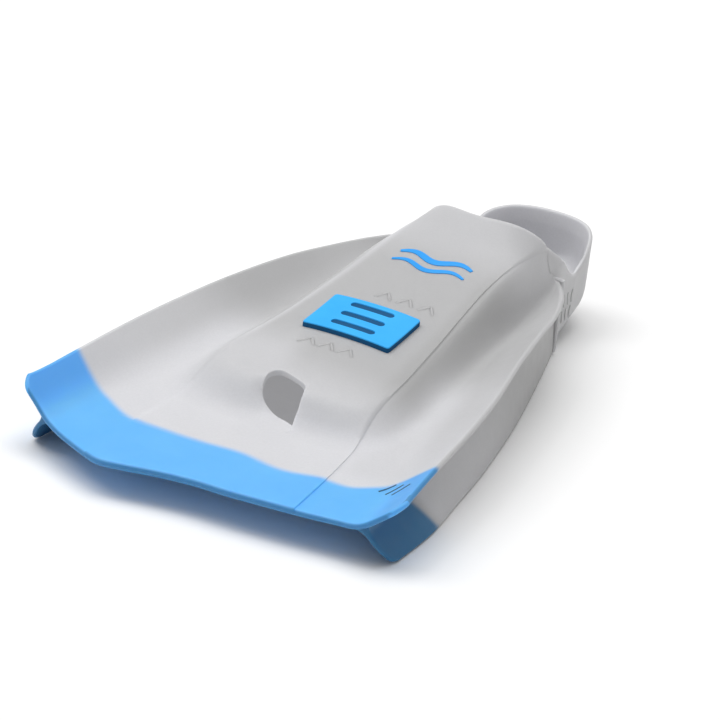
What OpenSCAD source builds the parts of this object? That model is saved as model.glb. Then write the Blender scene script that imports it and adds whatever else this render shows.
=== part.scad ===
// Short-blade swim fin with a closed-heel foot pocket.
// X runs across the fin, Y from the blade tip to the heel, Z up from the floor.

/* [Blade] */
// Half of the fin's width at the blade tip, over the upper rails
tip_half = 104.6; // [96:0.2:112]
// Thickness of the web at the tip
web_t = 3.2; // [2.4:0.1:4]
// Height of the web's top surface at the tip corners
web_tip_z = 18.2; // [16:0.2:21]
// Rise of the web towards the heel, as a slope
web_slope = 0.0875; // [0.07:0.0025:0.1]
// Thickness of the rails
rail_t = 2.8; // [2.2:0.1:3.6]
// Height of the raised centre panel over the web beside it
panel_step = 0.7; // [0.4:0.1:1]

/* [Flex zone] */
// Front edge of the stretch that bends, where the blue tip starts
flex_front = -146; // [-147:0.5:-144]
// Rear edge of the stretch that bends, just before the toe wall
flex_rear = -122; // [-124:0.5:-121]

/* [Foot pocket] */
// Wall thickness of the pocket
pocket_t = 3.6; // [3:0.1:4.2]
// Thickness of the sole
sole_t = 5; // [4:0.2:6]
// Height of the flat part of the sole over the floor
sole_z = 1; // [0.8:0.1:1.4]
// Half of the heel's width
heel_half = 36.5; // [35:0.1:38]
// Back of the heel cup
heel_end = 197; // [194:0.5:200]

/* [Badge] */
// Width of the badge across the fin
badge_w = 50; // [46:0.5:54]
// Length of the badge along the fin
badge_l = 34; // [30:0.5:38]
// Thickness of the dark base layer
base_t = 2.3; // [1.5:0.1:2.6]
// Thickness of the light face layer
face_t = 0.6; // [0.5:0.1:1.4]

/* [Hidden] */

grey = [0.86, 0.86, 0.86];
blue = [0.42, 0.74, 0.99];
deep_blue = [0.12, 0.36, 0.55];

tip_min = -190.6;        // foremost point of the tip
tip_corner = -172;       // where the rails' front edges stand
mid_y = (tip_min + heel_end) / 2;
nose_y = -45;            // the toe box starts to round in here
nose_l = 61;             // and its front wall is this much further forward
nose_n = 4;              // exponent of the toe box's outline
wall_blend = 0.23;       // half of the wall's width, as a share of the outline
crown_n = 2.2;           // exponent of the crown's crossfall
heel_y = 150;            // the heel starts to round in here
heel_n = 2.3;            // exponent of the heel's outline
rim_y = 88;              // instep rim on the centre line
rim_bow = 0.0148;        // how fast the rim runs back towards the sides
rim_half = 36;           // half of the width of the instep rim
rim_x = 5.5;             // centre line of the instep rim
rear_y = rim_y + rim_bow * rim_half * rim_half;
tunnel_x = 16.5;         // straight side of the drain tunnel, where it starts
tunnel_y = -122;         // the drain tunnel starts here
tunnel_skew = 0.22;      // the tunnel runs back at this slope to the left
tunnel_roof = -104;      // and is roofed over from here
tunnel_floor = 6;        // width of the tunnel's level floor
tunnel_ramp = 26;        // width of the slope from its floor up to the left
toe_y = -84;             // rear edge of the toe cap
badge_x = 1.2;           // middle of the badge
badge_y = -23.6;
instep_y = 20;           // front edge of the instep panel

// [y, half-width, height] of the upper rails' edge
upper_edge = [[-172, tip_half, 33.5], [-127, 100.4, 38.3], [-87, 97, 41.7], [-49, 91.9, 44.9],
    [-9, 83.8, 48.6], [35, 75.5, 49.6], [68, 68.5, 48.2], [92, 60, 48.5], [108, 51, 50]];
// [y, half-width] of the lower rails' edge, which stands on the floor
lower_edge = [[-160, 101.5], [-122, 100.4], [-82, 94.5], [-50, 89.5], [-15, 82.7], [16, 75.9],
    [53, 66.4], [97, 54.2], [126, 45.6]];
// [y, half-width] of the line where the keels leave the rails' underside
keel_root = [[-172, 88], [-120, 84], [-50, 76], [0, 69], [50, 61], [108, 46], [126, 41]];
// [y, half-width] of the crease at the foot of the upper rails
crease = [[-173, 86], [-140, 82], [-110, 75], [-85, 68], [-50, 63], [0, 59], [50, 55], [92, 50],
    [108, 46]];
// [y, half-width] of the raised centre panel, and of the pocket's shoulders
panel = [[-190, 54.5], [-150, 52.5], [-120, 50], [-95, 47.5], [-57, 45], [-30, 42], [-5, 39.5],
    [20, 37], [40, 35.5], [70, 35], [107, 36]];
// [y, height on the centre line, height at the shoulders]
crown = [[-120, 36.5, 35], [-95, 39.5, 37], [-57, 44, 40.5], [-21, 48.8, 45], [20, 56, 54],
    [50, 62.8, 61.5], [70, 69.5, 65], [89, 80, 66], [107, 88, 66]];
// [x, y] of the tip's front edge, which is longer on the left
tip_edge = [[-104.6, -169.5], [-88, -173], [-72, -180.5], [-54, -188], [-44.6, tip_min],
    [-33, -188.4], [-16, -184], [2, -181], [21, -180], [39, -178], [57, -176], [75, -173.5],
    [88, -173], [104.6, -169.5]];
// [y, x] of the foot's centre line, which drifts to one side
foot_axis = [[-60, 0], [-20, 0.5], [20, 2], [90, 5.5], [150, 6], [210, 6]];
// [y, half-width] of the sole behind the toes
sole_edge = [[-45, 49], [-10, 46], [30, 42], [92, 41], [112, 40], [130, 38], [150, 36.5]];
// [y, height] of the heel cup's rim
heel_rim = [[107, 66], [125, 53], [140, 43.5], [149, 39.5], [158, 43.5], [171, 51], [185, 53],
    [200, 53.5]];

// Smooth curve through rows of [t, value, ...], column k
function row_of(t, p) = max(0, min(len(p) - 2, len([for (q = p) if (q[0] <= t) 1]) - 1));
function slope_at(p, j, k) =
    let (lo = max(j - 1, 0), hi = min(j + 1, len(p) - 1))
    (p[hi][k] - p[lo][k]) / (p[hi][0] - p[lo][0]);
function hermite(a, b, ma, mb, u) =
    u < 0 ? a + ma * u
    : u > 1 ? b + mb * (u - 1)
    : a * (2 * u^3 - 3 * u^2 + 1) + b * (3 * u^2 - 2 * u^3)
        + ma * (u^3 - 2 * u^2 + u) + mb * (u^3 - u^2);
function curve(t, p, k = 1) =
    let (i = row_of(t, p), h = p[i + 1][0] - p[i][0])
    hermite(p[i][k], p[i + 1][k], slope_at(p, i, k) * h, slope_at(p, i + 1, k) * h,
        (t - p[i][0]) / h);
function lerp(a, b, u) = a + (b - a) * u;
function clamp(t) = max(0, min(1, t));
function smooth(t) = let (c = clamp(t)) c^3 * (c * (6 * c - 15) + 10);
// Climbs from 0 to 1, with a fillet at the start
function rise(s, c = 0.28) = (s + sqrt(s * s + c * c)) / (1 + sqrt(1 + c * c));

// Top surface of the fin: web, rails and the foot pocket's dome
function axis_x(y) = y < foot_axis[0][0] ? 0 : curve(y, foot_axis);
function web_z(y) = web_tip_z + web_slope * (y - tip_corner + 1);
function rail_half(y) = curve(y, upper_edge, 1);
function rail_z(y) = curve(y, upper_edge, 2);
function base_z(x, y) =
    let (foot = curve(y, crease))
    lerp(web_z(y), rail_z(y), rise((abs(x) - foot) / (rail_half(y) - foot)));
function pocket_half(y) = (curve(y, panel) + curve(y, crease)) / 2;
function outline_level(x, y) =
    let (u = abs(x - axis_x(y)) / pocket_half(y), v = max(0, nose_y - y) / nose_l)
    (u^nose_n + v^nose_n)^(1 / nose_n);
function dome_z(x, y) =
    let (mid = curve(y, crown, 1), side = curve(y, crown, 2))
    mid - (mid - side) * (abs(x - axis_x(y)) / curve(y, panel))^crown_n;
function tunnel_side(y) = tunnel_x - tunnel_skew * (y - tunnel_y);
function fill(x, y) =
    let (inside = tunnel_side(y) - x)
    inside < 0 ? 1
    : lerp(smooth((inside - tunnel_floor) / tunnel_ramp), 1, smooth((y - tunnel_roof) / 13));
function top_z(x, y) =
    let (s = smooth((1 + wall_blend - outline_level(x, y)) / (2 * wall_blend)), b = base_z(x, y))
    s > 0 ? lerp(b, dome_z(x, y), s * fill(x, y)) : b;
function steepness(x, y) =
    norm([1, (top_z(x + 1, y) - top_z(x - 1, y)) / 2, (top_z(x, y + 1) - top_z(x, y - 1)) / 2]);
function under_z(x, y, t) = top_z(x, y) - t * min(2.2, steepness(x, y));
function rim_at(x) = rim_y + rim_bow * min(abs(x - rim_x), rim_half)^2;

// The six lines that bound the strips of the top surface, from left to right
function line_x(k, y) =
    k == 0 ? -rail_half(y)
    : k == 1 ? -curve(y, crease)
    : k == 2 ? axis_x(y) - curve(y, panel)
    : k == 3 ? axis_x(y) + curve(y, panel)
    : k == 4 ? curve(y, crease)
    : rail_half(y);

// Closed solid between two grids of points, rows of the same length
function cells(n, m, o, flip) = [for (i = [0:n - 2], j = [0:m - 2])
    let (a = o + i * m + j, q = [a, a + m, a + m + 1, a + 1])
    each flip ? [[q[2], q[1], q[0]], [q[3], q[2], q[0]]] : [[q[0], q[1], q[2]], [q[0], q[2], q[3]]]];
function border(n, m) = concat([for (j = [0:m - 1]) j], [for (i = [1:n - 1]) i * m + m - 1],
    [for (j = [m - 2:-1:0]) (n - 1) * m + j], [for (i = [n - 2:-1:1]) i * m]);
function hem(n, m) =
    let (b = border(n, m), c = len(b), o = n * m)
    [for (i = [0:c - 1]) let (p = b[i], q = b[(i + 1) % c])
        each [[p, q, q + o], [p, q + o, p + o]]];
module slab(top, low) {
    n = len(top);
    m = len(top[0]);
    points = concat([for (r = top) each r], [for (r = low) each r]);
    polyhedron(points, concat(cells(n, m, 0, false), cells(n, m, n * m, true), hem(n, m)));
}

// Part of the top skin between lines k and k + 1, from y0 to y1
function station(x, nominal, v, y0, y1, from_tip, to_rim) =
    from_tip ? lerp(curve(x, tip_edge), y1, v)
    : to_rim ? lerp(y0, rim_at(x), v)
    : nominal;
module skin(k, y0, y1, rows, cols, t, step = 0, from_tip = false, to_rim = false) {
    spots = [for (i = [0:rows]) let (v = i / rows, y = lerp(y0, y1, v))
        [for (j = [0:cols]) let (x = lerp(line_x(k, y), line_x(k + 1, y), j / cols))
            [x, station(x, y, v, y0, y1, from_tip, to_rim)]]];
    slab([for (r = spots) [for (p = r) [p[0], p[1], top_z(p[0], p[1]) + step]]],
        [for (r = spots) [for (p = r) [p[0], p[1], under_z(p[0], p[1], t)]]]);
}
module place(tint) {
    color(tint) translate([0, -mid_y, 0]) children();
}

// The left keel leans in behind the arch, because the foot's centre line drifts to the right
function keel_shift(side, y) = side > 0 ? 0 : 2 * axis_x(y) * smooth((y - 10) / 90);
// Lower rail, from the upper rail's underside down to the floor
module keel(side, y0, y1, rows, lift = 0, from_tip = false) {
    cols = 5;
    front_cut = 15;
    spots = [for (i = [0:rows]) [for (j = [0:cols])
        let (u = j / cols, start = from_tip ? y0 + front_cut * smooth(u) : y0,
            y = lerp(start, y1, i / rows), root = curve(y, keel_root),
            z_root = under_z(root, min(y, 107), rail_t) + 0.2)
        [lerp(root, curve(y, lower_edge), u^0.8) - keel_shift(side, y), y,
            lerp(z_root, lift, u)]]];
    outer = [for (r = spots) [for (p = r) [side * p[0], p[1], p[2]]]];
    inner = [for (r = spots) [for (p = r) [side * (p[0] - rail_t), p[1], p[2]]]];
    if (side > 0) slab(inner, outer);
    else slab(outer, inner);
}

// Outline of the sole, from the nose (0) to the heel's back (1), as [half-width, y]
function nose_point(a, half, l) = [half * sin(a)^(2 / nose_n), nose_y - l * cos(a)^(2 / nose_n)];
function heel_point(a, half, end) =
    [half * sin(a)^(2 / heel_n), heel_y + (end - heel_y) * cos(a)^(2 / heel_n)];
function sole_bottom(y) =
    y < -50 ? sole_z + 13 * ((-50 - y) / 62)^2.2
    : y < 112 ? sole_z
    : sole_z + 23 * ((y - 112) / 85)^1.5;
sole_nose = 66;
top_nose = 72;
sole_path = concat(
    [for (a = [6:12:90]) nose_point(a, sole_edge[0][1], sole_nose)],
    [for (y = [-30:15:150]) [curve(y, sole_edge), y]],
    [for (a = [78:-12:6]) heel_point(a, heel_half - 0.5, heel_end - 1.5)]);

// Lower side wall from the sole's edge up to the skin's underside
function wall_foot(u) =
    u < 1 ? nose_point(lerp(6, 90, u), sole_edge[0][1], sole_nose)
    : let (y = lerp(nose_y, rear_y, u - 1)) [curve(y, sole_edge), y];
function wall_head(u) =
    u < 1 ? nose_point(lerp(6, 90, u), pocket_half(nose_y) * 1.06, top_nose)
    : let (y = lerp(nose_y, rear_y, u - 1)) [lerp(pocket_half(y) * 1.06, 44, clamp(u - 1.4) / 0.6), y];
module side_wall(side, u0, u1, rows) {
    cols = 3;
    outer = [for (i = [0:rows]) let (u = lerp(u0, u1, i / rows), f = wall_foot(u), h = wall_head(u),
            x = axis_x(h[1]) + side * h[0], z = under_z(x, h[1], pocket_t))
        [for (j = [0:cols]) let (v = j / cols)
            [axis_x(f[1]) + side * lerp(f[0], h[0], v), lerp(f[1], h[1], v),
                lerp(sole_bottom(f[1]) + 1, z + 0.3, v)]]];
    inner = [for (r = outer) [for (p = r)
        let (back = max(0, nose_y - p[1]) / nose_l)
        [p[0] - side * pocket_t * (1 - 0.5 * back), p[1] + pocket_t * back, p[2]]]];
    if (side > 0) slab(inner, outer);
    else slab(outer, inner);
}

// Blade tip
module tip_panel() {
    place(blue) skin(2, tip_corner, flex_front, 6, 10, web_t, panel_step, from_tip = true);
}
module tip_web(k) {
    place(blue) skin(k, tip_corner, flex_front, 6, 4, web_t, from_tip = true);
}
module tip_rail(k) {
    place(blue) skin(k, tip_corner, flex_front, 6, 5, rail_t, from_tip = true);
}
module tip_keel(side) {
    place(blue) keel(side, tip_corner, flex_front, 4, from_tip = true);
}
module corner_marks() {
    place(deep_blue) for (spot = [[81, -136.5], [86, -139.5], [90.5, -142]]) {
        spots = [for (i = [0:1]) [for (j = [-1:1])
            spot + [2.8 * j + 0.6 * (i - 0.5), 3.1 * j + 1.2 * (i - 0.5)]]];
        slab([for (r = spots) [for (p = r) [p[0], p[1], top_z(p[0], p[1]) + 0.4]]],
            [for (r = spots) [for (p = r) [p[0], p[1], top_z(p[0], p[1])]]]);
    }
}

// Flex zone
module flex_panel() {
    place(grey) skin(2, flex_front, flex_rear, 4, 10, web_t, panel_step);
}
module flex_web(k) {
    place(grey) skin(k, flex_front, flex_rear, 4, 4, web_t);
}
module flex_rail(k) {
    place(grey) skin(k, flex_front, flex_rear, 4, 5, rail_t);
}
module flex_keel(side) {
    place(grey) keel(side, flex_front, flex_rear, 4, lift = 0.6);
}

// Foot pocket
module drain_hole() {
    translate([0, 0, 10]) linear_extrude(40)
        polygon([[13.2, -107], [7.4, -105.5], [-1, -104], [-7, -102.5], [-10.5, -99], [-11.5, -94],
            [-10.8, -90], [-8.8, -87.5], [-4.8, -87.2], [7.4, -91.8], [10.2, -94.5], [10.8, -97]]);
}
module toe_cap() {
    place(grey) difference() {
        skin(2, flex_rear, toe_y, 14, 24, pocket_t, panel_step);
        drain_hole();
    }
}
module pocket_top() {
    place(grey) skin(2, toe_y, instep_y, 8, 10, pocket_t, panel_step);
}
module instep_panel() {
    place(grey) skin(2, instep_y, 100, 8, 10, pocket_t, panel_step, to_rim = true);
}
module flank(k) {
    place(grey) skin(k, flex_rear, rear_y, 22, 6, pocket_t);
}
module rear_rail(k) {
    place(grey) skin(k, flex_rear, rear_y, 20, 4, rail_t);
}
module rear_keel(side) {
    place(grey) keel(side, flex_rear, 124, 18);
}
// Rib that closes the channel between the upper rail and the keel
module rail_end(side) {
    rows = 6;
    spots = [for (i = [0:rows]) let (u = i / rows, y = lerp(rear_y, 124, u))
        [for (j = [0:1]) [axis_x(y) * smooth(u) + lerp(52, 41, smooth(u)) - j * 8, y, lerp(49, 1, u)]]];
    slide = [0, rail_t, 0];
    for_side = [for (r = spots) [for (p = r)
        [side > 0 ? p[0] : 2 * axis_x(p[1]) * smooth((p[1] - 10) / 90) - p[0], p[1], p[2]]]];
    front = [for (r = for_side) [for (p = r) p - slide]];
    place(grey) if (side > 0) slab(front, for_side);
    else slab(for_side, front);
}
module toe_bumper() {
    place(grey) {
        cols = 3;
        ring = concat([for (a = [54:-12:6]) [-1, a]], [for (a = [6:12:54]) [1, a]]);
        outer = [for (r = ring)
            let (f = nose_point(r[1], sole_edge[0][1], sole_nose),
                h = nose_point(r[1], pocket_half(nose_y) * 1.06, top_nose),
                z = under_z(r[0] * h[0], h[1], pocket_t))
            [for (j = [0:cols]) let (v = j / cols)
                [r[0] * lerp(f[0], h[0], v), lerp(f[1], h[1], v),
                    lerp(sole_bottom(f[1]) + 1, z + 0.3, v)]]];
        inner = [for (r = outer) [for (p = r) [p[0] * 0.94, p[1] + pocket_t, p[2]]]];
        slab(outer, inner);
    }
}
module sole() {
    rows = [for (p = sole_path) [for (j = [-3:3]) [axis_x(p[1]) + p[0] * j / 3, p[1]]]];
    place(grey) slab([for (r = rows) [for (p = r) [p[0], p[1], sole_bottom(p[1]) + sole_t]]],
        [for (r = rows) [for (p = r) [p[0], p[1], sole_bottom(p[1])]]]);
}
function heel_side(y) = curve(y, sole_edge) + 0.4 + 1.6 * clamp((130 - y) / 22);
module heel_cup() {
    cols = 4;
    lean = 0.33;
    ring = concat([for (y = [rear_y, 118, 129, 140, 149]) [heel_side(y), y]],
        [for (a = [80:-10:0]) heel_point(a, heel_half, heel_end)]);
    half = [for (p = ring) let (low = sole_bottom(p[1]) + 1, high = curve(p[1], heel_rim))
        [for (j = [0:cols]) let (z = lerp(low, high, j / cols),
                tuck = lean * clamp((130 - p[1]) / 23) * max(0, z - 42))
            [p[0] - tuck, p[1], z]]];
    full = concat([for (r = half) [for (p = r) [axis_x(p[1]) + p[0], p[1], p[2]]]],
        [for (i = [len(half) - 2:-1:0]) [for (p = half[i]) [axis_x(p[1]) - p[0], p[1], p[2]]]]);
    shrink = 1 - pocket_t / heel_half;
    inner = [for (r = full) [for (p = r) let (c = axis_x(p[1]))
        [c + (p[0] - c) * shrink, p[1] - pocket_t * clamp((p[1] - heel_y) / 30), p[2]]]];
    place(grey) slab(inner, full);
}
module sole_tread() {
    pad = [46, 5, sole_z];
    pitch = 13;
    count = 11;
    place(grey) for (i = [0:count - 1])
        translate([axis_x(-25 + i * pitch), -25 + i * pitch, 0])
            linear_extrude(pad[2]) hull() {
                translate([-pad[0] / 2, 0]) circle(d = pad[1], $fn = 24);
                translate([pad[0] / 2, 0]) circle(d = pad[1], $fn = 24);
            }
}

// Trim on the pocket's top
function patch(x0, x1, y0, y1, cols, rows, lift) = [for (i = [0:rows]) [for (j = [0:cols])
    let (x = lerp(x0, x1, j / cols), y = lerp(y0, y1, i / rows))
    [x, y, top_z(x, y) + panel_step + lift]]];
module raised(x0, x1, y0, y1, cols, rows, low, high) {
    slab(patch(x0, x1, y0, y1, cols, rows, high), patch(x0, x1, y0, y1, cols, rows, low));
}
module badge_layer(low, high) {
    raised(badge_x - badge_w / 2, badge_x + badge_w / 2, badge_y - badge_l / 2,
        badge_y + badge_l / 2, 8, 6, low, high);
}
module badge_base() {
    place(deep_blue) badge_layer(0, base_t);
}
module badge_face() {
    slot_l = 20.5;
    slot_w = 4.3;
    pitch = 10;
    place(blue) difference() {
        badge_layer(base_t, base_t + face_t);
        for (i = [-1:1]) translate([badge_x, badge_y + 1 + i * pitch, 40]) linear_extrude(20) hull() {
            translate([-slot_l / 2, 0]) circle(d = slot_w, $fn = 24);
            translate([slot_l / 2, 0]) circle(d = slot_w, $fn = 24);
        }
    }
}
// Wavy ribbon that follows the surface, phase in degrees
module ribbon(y, length, width, lift) {
    steps = 16;
    swing = 2.2;
    spots = [for (i = [0:1]) [for (j = [0:steps]) let (u = j / steps)
        [lerp(-length / 2, length / 2, u) + axis_x(y),
            y + swing * sin(540 * u) + (i - 0.5) * width * sin(180 * lerp(0.12, 0.88, u))]]];
    slab([for (r = spots) [for (p = r) [p[0], p[1], top_z(p[0], p[1]) + panel_step + lift]]],
        [for (r = spots) [for (p = r) [p[0], p[1], top_z(p[0], p[1]) + panel_step]]]);
}
module wave_emblem() {
    place(blue) {
        ribbon(41.5, 42, 3, 0.5);
        ribbon(50, 42, 4, 0.5);
    }
}
// Faint relief arrow that points along the fin, middle at (x, y)
module chevron(x, y) {
    half = 4.4;
    depth = 5.5;
    stroke = 1.6;
    spots = [for (i = [0:1]) [for (j = [-2:2])
        [x + half * j / 2, y + depth * (0.5 - abs(j) / 2) + stroke * (i - 0.5)]]];
    slab([for (r = spots) [for (p = r) [p[0], p[1], top_z(p[0], p[1]) + panel_step + 0.35]]],
        [for (r = spots) [for (p = r) [p[0], p[1], top_z(p[0], p[1]) + panel_step]]]);
}
module front_marks() {
    place(grey) for (i = [-1:1]) chevron(11 * i - 1.5, -52.5);
}
module rear_marks() {
    place(grey) for (i = [-1:1]) chevron(12.5 * i + 10, 7.5);
}
module heel_marks() {
    thick = 0.6;
    place(grey) for (side = [-1, 1], i = [0:3])
        let (y = 125 + i * 5.5, x = axis_x(y) + side * heel_side(y))
        translate([x + (side > 0 ? 0 : -thick), y, 16]) cube([thick, 2, 12]);
}

tip_panel();
tip_web(1);  // tip_web_left
tip_web(3);  // tip_web_right
tip_rail(0);  // tip_rail_left
tip_rail(4);  // tip_rail_right
tip_keel(-1);  // tip_keel_left
tip_keel(1);  // tip_keel_right
corner_marks();
flex_panel();
flex_web(1);  // flex_web_left
flex_web(3);  // flex_web_right
flex_rail(0);  // flex_rail_left
flex_rail(4);  // flex_rail_right
flex_keel(-1);  // flex_keel_left
flex_keel(1);  // flex_keel_right
toe_cap();
pocket_top();
instep_panel();
flank(1);  // flank_left
flank(3);  // flank_right
rear_rail(0);  // rear_rail_left
rear_rail(4);  // rear_rail_right
rear_keel(-1);  // rear_keel_left
rear_keel(1);  // rear_keel_right
rail_end(-1);  // rail_end_left
rail_end(1);  // rail_end_right
toe_bumper();
side_wall(-1, 0.6, 2, 16);  // side_wall_left
side_wall(1, 0.6, 2, 16);  // side_wall_right
sole();
heel_cup();
sole_tread();
badge_base();
badge_face();
wave_emblem();
front_marks();
rear_marks();
heel_marks();
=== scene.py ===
"""Looks of the short-blade swim fin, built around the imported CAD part.

The shape code works in millimetres in the CAD source's own axes: X across, Y from tip to heel,
Z up. new_piece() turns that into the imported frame, in metres.
"""
import math

import bmesh
import bpy
import numpy as np
from mathutils import Matrix, Vector


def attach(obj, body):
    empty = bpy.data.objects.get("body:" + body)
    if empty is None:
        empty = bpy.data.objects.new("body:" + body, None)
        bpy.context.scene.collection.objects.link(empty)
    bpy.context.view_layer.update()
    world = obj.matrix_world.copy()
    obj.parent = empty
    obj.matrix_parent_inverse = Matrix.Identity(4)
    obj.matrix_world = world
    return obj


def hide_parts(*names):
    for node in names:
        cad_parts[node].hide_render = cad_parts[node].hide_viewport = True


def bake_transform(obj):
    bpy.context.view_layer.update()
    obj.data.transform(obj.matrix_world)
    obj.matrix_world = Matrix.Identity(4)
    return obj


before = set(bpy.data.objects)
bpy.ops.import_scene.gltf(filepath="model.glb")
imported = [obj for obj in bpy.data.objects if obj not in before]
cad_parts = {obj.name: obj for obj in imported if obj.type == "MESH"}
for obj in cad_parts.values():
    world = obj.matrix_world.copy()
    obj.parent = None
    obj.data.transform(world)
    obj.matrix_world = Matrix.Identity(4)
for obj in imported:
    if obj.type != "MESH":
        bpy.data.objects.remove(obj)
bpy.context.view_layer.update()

# ---- Sizes and profiles, the same as the CAD part's ----
TIP_MIN, HEEL_END = -190.6, 197.0
MID_Y = (TIP_MIN + HEEL_END) / 2
WEB_T, RAIL_T, POCKET_T, SOLE_T = 3.2, 2.8, 3.6, 5.0
PANEL_STEP = 0.7
TIP_CORNER = -172.0
FLEX_FRONT, FLEX_REAR = -146.0, -122.0
NOSE_Y, NOSE_L, NOSE_N = -45.0, 61.0, 4
WALL_BLEND, CROWN_N = 0.23, 2.2
HEEL_Y, HEEL_N, HEEL_HALF = 150.0, 2.3, 36.5
RIM_Y, RIM_BOW, RIM_HALF, RIM_X = 88.0, 0.0148, 36.0, 5.5
REAR_Y = RIM_Y + RIM_BOW * RIM_HALF ** 2
TUNNEL_X, TUNNEL_Y, TUNNEL_SKEW, TUNNEL_ROOF = 16.5, -122.0, 0.22, -104.0
TUNNEL_FLOOR, TUNNEL_RAMP = 6.0, 26.0
TUNNEL_END = -91.0
SOLE_Z = 1.0
BADGE_X, BADGE_Y, BADGE_W, BADGE_L = 1.2, -23.6, 50.0, 34.0
BASE_T, FACE_T = 2.3, 0.6

# ---- Sizes that only the looks need ----
EDGE_R = 1.4                                # rounding of the free edges
CORNER_X, CORNER_Y = 5.0, 8.0               # rounding of the wings' front corners
KEEL_END_TOP, KEEL_END_LOW = 106.0, 124.0   # y where a keel's root and its lower edge end
KEEL_LAP = 0.6                              # how far a keel's root reaches into the skin
KEEL_SLANT, SLANT_TOP = 0.8, 18.0           # the blue's edge leans back below this height
WRAP_Y = REAR_Y - 4.0                       # where the heel wall starts
FOOT_NOSE, HEAD_NOSE = 66.0, 70.0           # length of the toe wall's nose, low and high
HEAD_OVER = 1.04                            # how far the side walls reach into the skin
RIM_TAPER = 1.3                             # how much thinner the wall is at the heel's rim
FLUSH = 0.08                                # step from the flank to the heel wall
HOLE_MID = (0.0, -96.0)
TOE_END, MID_END = -84.0, 20.0              # y where the skin's rows change their pitch
LEAST_PAINTED_LIGHT = 0.167                           # lowest value of the painted light and shade

# ---- Profiles: rows of (y, x), (y, x, z) or (y, z) unless a comment says otherwise ----
UPPER_EDGE = [(-172, 104.6, 33.5), (-127, 100.4, 38.3), (-87, 97, 41.7), (-49, 91.9, 44.9),
              (-9, 83.8, 48.6), (35, 75.5, 49.6), (68, 68.5, 48.2), (92, 60, 48.5), (108, 51, 50)]
LOWER_EDGE = [(-160, 101.5), (-122, 100.4), (-82, 94.5), (-50, 89.5), (-15, 82.7), (16, 75.9),
              (53, 66.4), (97, 54.2), (126, 45.6)]
KEEL_ROOT = [(-172, 88), (-120, 84), (-50, 76), (0, 69), (50, 61), (108, 46), (126, 41)]
CREASE = [(-173, 86), (-140, 82), (-110, 75), (-85, 68), (-50, 63), (0, 59), (50, 55), (92, 50),
          (108, 46)]
PANEL = [(-190, 54.5), (-150, 52.5), (-120, 50), (-95, 47.5), (-57, 45), (-30, 42), (-5, 39.5),
         (20, 37), (40, 35.5), (70, 35), (107, 36)]
CROWN = [(-120, 36.5, 35), (-95, 39.5, 37), (-57, 44, 40.5), (-21, 48.8, 45), (20, 56, 54),
         (50, 62.8, 61.5), (70, 69.5, 65), (89, 80, 66), (107, 88, 66)]
# (x, y) of the tip's front edge
TIP_EDGE = [(-104.6, -169.5), (-88, -173), (-72, -180.5), (-54, -188), (-44.6, TIP_MIN),
            (-33, -188.4), (-16, -184), (2, -181), (21, -180), (39, -178), (57, -176),
            (75, -173.5), (88, -173), (104.6, -169.5)]
FOOT_AXIS = [(-60, 0), (-20, 0.5), (20, 2), (90, 5.5), (150, 6), (210, 6)]
SOLE_EDGE = [(-45, 49), (-10, 46), (30, 42), (92, 41), (112, 40), (130, 38), (150, 36.5)]
HEEL_RIM = [(107, 66), (125, 53), (138, 43.2), (144, 40.4), (149, 39.6), (154, 40.4), (160, 43.2),
            (171, 50), (185, 53), (200, 53.5)]
# (x, y) of the line where the blue tip fades into the grey
BLUE_LINE = [(-104, -126), (-91, -131), (-77, -136), (-56, -146.4), (-34, -147.8), (-15, -147.3),
             (6.6, -145.4), (30, -148.3), (50, -143.5), (64.6, -142.6), (76, -136), (88, -131),
             (104, -126)]
BLUE_BLUR = 6.0
# (x, y) of the drain hole's outline
HOLE = [(13.2, -107), (7.4, -105.5), (-1, -104), (-7, -102.5), (-10.5, -99), (-11.5, -94),
        (-10.8, -90), (-8.8, -87.5), (-4.8, -87.2), (7.4, -91.8), (10.2, -94.5), (10.8, -97)]


def lerp(a, b, u):
    return a + (b - a) * u


def clamp(t):
    return np.clip(t, 0.0, 1.0)


def smooth(t):
    c = clamp(t)
    return c ** 3 * (c * (6 * c - 15) + 10)


def fade(t, zero_at, one_at):
    """Goes smoothly from 0 where t is zero_at to 1 where it is one_at."""
    return smooth((t - zero_at) / (one_at - zero_at))


def rise(s, c=0.28):
    """Climbs from 0 to 1, with a fillet at the start."""
    return (s + np.sqrt(s * s + c * c)) / (1 + math.sqrt(1 + c * c))


def curve(t, rows, column=1):
    """Smooth curve through rows of (t, value, ...)."""
    table = np.array(rows, float)
    k, v = table[:, 0], table[:, column]
    t = np.asarray(t, float)
    slope = np.empty_like(v)
    slope[1:-1] = (v[2:] - v[:-2]) / (k[2:] - k[:-2])
    slope[0] = (v[1] - v[0]) / (k[1] - k[0])
    slope[-1] = (v[-1] - v[-2]) / (k[-1] - k[-2])
    i = np.clip(np.searchsorted(k, t, side="right") - 1, 0, len(k) - 2)
    h = k[i + 1] - k[i]
    u = (t - k[i]) / h
    w = clamp(u)
    inner = (v[i] * (2 * w ** 3 - 3 * w ** 2 + 1) + v[i + 1] * (3 * w ** 2 - 2 * w ** 3)
             + slope[i] * h * (w ** 3 - 2 * w ** 2 + w) + slope[i + 1] * h * (w ** 3 - w ** 2))
    return inner + slope[i] * h * np.minimum(u, 0) + slope[i + 1] * h * np.maximum(u - 1, 0)


def axis_x(y):
    """Middle of the foot, which drifts to one side towards the heel."""
    return np.where(np.asarray(y) < FOOT_AXIS[0][0], 0.0, curve(y, FOOT_AXIS))


def web_z(y):
    """Top of the flat blade between the wings."""
    return 18.2 + 0.0875 * (y - TIP_CORNER + 1)


def base_z(x, y):
    """Top of the blade and its wings, as if the foot pocket weren't there."""
    foot = curve(y, CREASE)
    edge = curve(y, UPPER_EDGE)
    return lerp(web_z(y), curve(y, UPPER_EDGE, 2), rise((np.abs(x) - foot) / (edge - foot)))


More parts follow.
